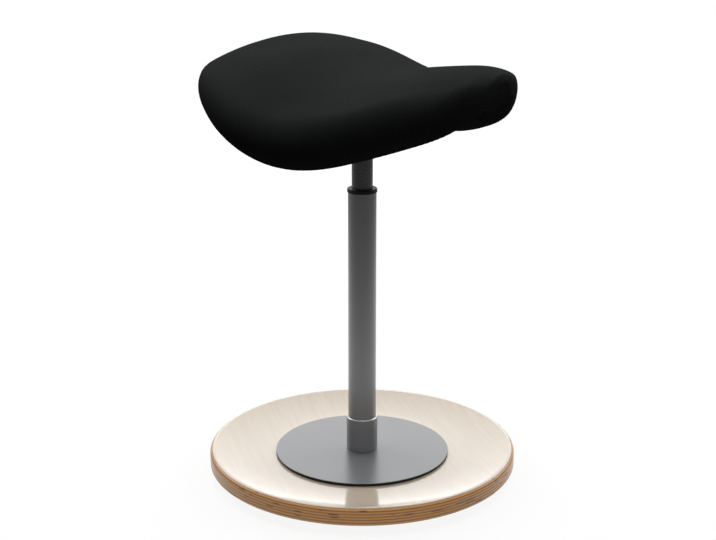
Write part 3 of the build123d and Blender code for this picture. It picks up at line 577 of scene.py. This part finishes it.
def loop_grid(name, points, ring=False):
    """Mesh of a grid whose lines close on themselves; its ends meet in a ring or are filled."""
    rows, columns, _ = points.shape
    index = np.arange(rows * columns).reshape(rows, columns)
    ends = [] if ring else [index[0, ::-1].tolist(), index[-1].tolist()]
    index = np.concatenate([index, index[:1]]) if ring else index
    ahead = np.roll(index, -1, axis=1)
    faces = np.stack([index[:-1], ahead[:-1], ahead[1:], index[1:]], axis=2).reshape(-1, 4).tolist() + ends
    mesh = bpy.data.meshes.new(name)
    mesh.from_pydata(points.reshape(-1, 3).tolist(), [], faces)
    mesh.shade_smooth()
    return mesh


def corners(mesh):
    """Array of a mesh's points."""
    flat = np.empty(3 * len(mesh.vertices))
    mesh.vertices.foreach_get("co", flat)
    return flat.reshape(-1, 3)


def evaluated(piece):
    """New mesh of a piece with its modifiers applied."""
    return bpy.data.meshes.new_from_object(piece.evaluated_get(bpy.context.evaluated_depsgraph_get()))


def filled_pad(start):
    """Closed form blown up as cloth: remeshed, put under pressure without weight, its move capped."""
    pad = bpy.data.objects.new("pad_form", start)
    scene.collection.objects.link(pad)
    remesh = pad.modifiers.new("remesh", "REMESH")
    remesh.mode = "VOXEL"
    remesh.voxel_size = VOXEL
    pad.data = evaluated(pad)
    pad.modifiers.remove(remesh)
    before = corners(pad.data)
    cloth = pad.modifiers.new("cloth", "CLOTH")
    cloth.settings.use_pressure = True
    cloth.settings.uniform_pressure_force = PRESSURE
    cloth.settings.effector_weights.gravity = 0.0
    for number in range(1, SETTLE_FRAMES + 1):
        scene.frame_set(number)
    moved = corners(evaluated(pad)) - before
    scene.frame_set(1)
    pad.modifiers.remove(cloth)
    length = np.linalg.norm(moved, axis=1, keepdims=True)
    moved *= np.minimum(1, MOST_MOVE / np.maximum(length, 1e-9))
    pad.data.vertices.foreach_set("co", (before + moved).ravel())
    pad.data.update()
    return pad


def softened(field, passes):
    """Field on the grid, each value averaged with its neighbours along and round the lines."""
    for _ in range(passes):
        field = (field + np.roll(field, 1, axis=1) + np.roll(field, -1, axis=1)) / 3
        ends = np.pad(field, ((1, 1), (0, 0), (0, 0)), mode="edge")
        field = (ends[:-2] + ends[1:-1] + ends[2:]) / 3
    return field


def outward(points):
    """Unit normals of the grid: its slope round the lines crossed with its slope along them."""
    round_line = np.roll(points, -1, axis=1) - np.roll(points, 1, axis=1)
    normal = np.cross(round_line, np.gradient(points, axis=0))
    return normal / np.maximum(np.linalg.norm(normal, axis=2, keepdims=True), 1e-12)


def rounded(points):
    """Grid with the bend round its lines evened out: steps towards the neighbours' mean, then back."""
    for share in EVEN_SHARES * EVEN_PASSES:
        mean = (np.roll(points, 1, axis=1) + np.roll(points, -1, axis=1)) / 2
        points = points + share * (mean - points)
    return points


saddle_points = rounded(saddle_surface(0.0))
side_steps = OPENING_STEPS + HEM_STEPS + RIM_STEPS + CROWN_STEPS
step = np.arange(saddle_points.shape[1])
from_middle = np.minimum(step, len(step) - step)
pad = filled_pad(loop_grid("pad_start", saddle_surface(START_INSET)))
pad.modifiers.new("smooth", "SUBSURF").levels = 1
wrapped = bpy.data.objects.new("wrapped", loop_grid("wrapped", saddle_points))
scene.collection.objects.link(wrapped)
wrapped.modifiers.new("wrap", "SHRINKWRAP").target = pad
swell = corners(evaluated(wrapped)).reshape(saddle_points.shape) - saddle_points
on_crown = np.clip((from_middle - side_steps + CROWN_STEPS) / (CROWN_STEPS / 2), 0, 1)[None, :]
line_share = np.arange(LINES_ACROSS)[:, None] / LINES_ACROSS
off_ends = np.clip((np.minimum(line_share, 1 - line_share) - SWELL_MARGIN) / SWELL_RAMP, 0, 1)
saddle_points = saddle_points + softened(swell * (on_crown * off_ends)[:, :, None], SWELL_PASSES)
bpy.data.objects.remove(wrapped)
bpy.data.objects.remove(pad)


# Gathers: folds in the cover that radiate from the opening's edge, where its hem draws it in. They
# end at the foot of the rim and reach further up it at the nose; along the rear edge the knit lies
# smooth. The underside stands off its lines by the cover's thickness, clear of the shell's edge.
PLEATS = 150
PLEAT_HEIGHT = 0.003
PLEAT_SHARPNESS = 0.7
PLEAT_WANDER = [(0.5, 7, 0.4), (0.3, 17, 1.1)]
PLEAT_FADE = 0.8
RIM_REACH = 0.1
NOSE_RIM_REACH = 0.6
NOSE_FROM = 0.07
NOSE_RAMP = 0.07
END_FADE = 0.03
TIP_FADE = 0.01
COVER_THICK = 0.0014
OPENING_DEPTH = 0.018
CREASE_LEVEL = 0.75

turn = np.arctan2(saddle_points[:, :, 0], saddle_points[:, :, 1] + opening_middle)
phase = PLEATS * turn / (2 * np.pi)
for size, waves, start in PLEAT_WANDER:
    phase = phase + size * np.sin(waves * turn + start)
fold = np.abs(np.sin(np.pi * phase)) ** PLEAT_SHARPNESS
reach = -saddle_points[:, :1, 1]
at_nose = np.clip((reach - NOSE_FROM) / NOSE_RAMP, 0, 1)
pleat_end = OPENING_STEPS + HEM_STEPS + RIM_STEPS * (RIM_REACH + NOSE_RIM_REACH * at_nose)
rise_share = np.clip((pleat_end - from_middle[None]) / (PLEAT_FADE * HEM_STEPS), 0, 1)
nose_tip = SADDLE_LINES[0, 0]
rear_tip = SADDLE_LINES[-1, 0]
to_end = np.clip(np.minimum(nose_tip - reach, reach - OPENING_REAR) / END_FADE, 0, 1)
inside = (from_middle < OPENING_STEPS)[None] & (reach < OPENING_FRONT) & (reach > OPENING_REAR)
gathered = rise_share * to_end * ~inside
off_tips = np.clip(np.minimum(nose_tip - reach, reach - rear_tip) / TIP_FADE, 0, 1)
off_shell = np.clip((OPENING_STEPS + HEM_STEPS + RIM_STEPS / 2 - from_middle) / (RIM_STEPS / 2), 0, 1)[None]
raised = PLEAT_HEIGHT * fold * gathered + COVER_THICK * off_shell * off_tips * ~inside
saddle_points = saddle_points + outward(saddle_points) * (raised - OPENING_DEPTH * inside)[:, :, None]


# Cover: one piece of black knit, stretched over the foam with no seam in sight. Its mesh carries a
# map of the cloth in metres, across and along its ridge, for the rib of the knit, and the depth of
# each crease, which darkens the folds as painted shade, since little light gets into a fold, and
# lightens the ridges between them, partly as stretched knit looks paler and partly as painted highlight.
FABRIC_BLACK = "#292A2A"
FABRIC_LIGHT = "#303131"
FABRIC_CLOUD = 0.0714
CREASE_SHADE = 1.1
WALE = 0.002
COURSE = 0.0016

saddle_mesh = loop_grid("saddle_cover", saddle_points)
saddle = bpy.data.objects.new("saddle_cover", saddle_mesh)
scene.collection.objects.link(saddle)
steps_round = np.diff(saddle_points, axis=1, prepend=saddle_points[:, :1])
round_line = np.cumsum(np.linalg.norm(steps_round, axis=2), axis=1)
ridge_line = saddle_points[:, side_steps]
along_ridge = np.cumsum(np.linalg.norm(np.diff(ridge_line, axis=0, prepend=ridge_line[:1]), axis=1))
cloth_place = np.stack([round_line - round_line[:, side_steps:side_steps + 1],
                        np.broadcast_to(along_ridge[:, None], round_line.shape)], axis=2).reshape(-1, 2)
corner_point = np.empty(len(saddle_mesh.loops), dtype=np.int32)
saddle_mesh.loops.foreach_get("vertex_index", corner_point)
saddle_mesh.uv_layers.new(name="fabric").data.foreach_set("uv", cloth_place[corner_point].ravel())
# Crease values: below zero in the pleats' valleys for painted shade, above zero on their ridges for painted
# highlight.
crease_painted_shade = (fold - CREASE_LEVEL) * gathered
saddle_mesh.attributes.new("crease_painted_shade_and_highlight", "FLOAT", "POINT").data.foreach_set("value", crease_painted_shade.ravel())

# Polyester knit, dyed black, matt: a fine rib of loops that scatters light and shows no gloss.
# The real loops are under a millimetre; these are drawn twice as coarse to show at all.
knit, tree, place = new_material("black_polyester_knit")
weave = add(tree, "SeparateXYZ", {0: add(tree, "UVMap", uv_map="fabric").outputs[0]}).outputs
wale = add(tree, "Math", {0: weave[0], 1: math.pi / WALE}, operation="MULTIPLY").outputs[0]
course = add(tree, "Math", {0: weave[1], 1: math.pi / COURSE}, operation="MULTIPLY").outputs[0]
wale_wave = add(tree, "Math", {0: wale}, operation="SINE").outputs[0]
course_wave = add(tree, "Math", {0: course}, operation="SINE").outputs[0]
loop_height = add(tree, "Math", {0: wale_wave, 1: course_wave}, operation="MULTIPLY").outputs[0]
cloud = add(tree, "TexNoise", {"Vector": place, "Scale": 1 / FABRIC_CLOUD, "Detail": 3.0}).outputs[0]
yarn = add(tree, "Mix", {0: cloud, 6: linear(FABRIC_BLACK), 7: linear(FABRIC_LIGHT)},
           data_type="RGBA").outputs[2]
# Painted shade and highlight: the crease values darken the yarn's colour in the folds and lighten it on their
# ridges.
crease_painted_shade_and_highlight = add(tree, "Attribute", attribute_name="crease_painted_shade_and_highlight").outputs["Fac"]
crease = add(tree, "Math", {0: crease_painted_shade_and_highlight, 1: CREASE_SHADE, 2: 1.0}, operation="MULTIPLY_ADD").outputs[0]
yarn = add(tree, "Mix", {0: 1.0, 6: yarn, 7: crease}, data_type="RGBA", blend_type="MULTIPLY").outputs[2]
loops = add(tree, "Bump", {"Height": loop_height, "Strength": 0.12, "Distance": 0.0003}).outputs[0]
shader = add(tree, "BsdfPrincipled", {"Base Color": yarn, "Roughness": 0.95, "Normal": loops,
                                      "Specular IOR Level": 0.0})
add(tree, "OutputMaterial", {"Surface": shader.outputs[0]})
saddle_mesh.materials.append(knit)
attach(saddle, "seat")
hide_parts("seat_cover", "seat_foam")


# Hem: the cover's edge, rolled over a drawcord that runs round the opening under the shell and
# pulls the gathers tight. It is the same knit, sewn into a tube.
HEM_RADIUS = 0.0026
HEM_SIDES = 10
HEM_PATH = 360
HEM_PASSES = 3

edge_rows = np.flatnonzero(((reach < OPENING_FRONT) & (reach > OPENING_REAR))[:, 0])
edge = np.concatenate([saddle_points[edge_rows, OPENING_STEPS],
                       saddle_points[edge_rows[::-1], len(step) - OPENING_STEPS]])
closed_edge = np.concatenate([edge, edge[:1]])
edge_at = np.cumsum(np.r_[0, np.linalg.norm(np.diff(closed_edge, axis=0), axis=1)])
path_at = np.linspace(0, edge_at[-1], HEM_PATH, endpoint=False)
path = np.stack([np.interp(path_at, edge_at, closed_edge[:, axis]) for axis in range(3)], axis=1)
for _ in range(HEM_PASSES):
    path = (np.roll(path, 1, axis=0) + path + np.roll(path, -1, axis=0)) / 3
onward = np.roll(path, -1, axis=0) - np.roll(path, 1, axis=0)
across = np.cross(onward, (0, 0, 1))
across /= np.linalg.norm(across, axis=1, keepdims=True)
upward = np.cross(across, onward)
upward /= np.linalg.norm(upward, axis=1, keepdims=True)
angle = np.linspace(0, 2 * np.pi, HEM_SIDES, endpoint=False)[None, :, None]
hem_points = path[:, None] + HEM_RADIUS * (np.cos(angle) * across[:, None] + np.sin(angle) * upward[:, None])
hem_mesh = loop_grid("cover_hem", hem_points, ring=True)
hem_mesh.materials.append(knit)
hem = bpy.data.objects.new("cover_hem", hem_mesh)
scene.collection.objects.link(hem)
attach(hem, "seat")
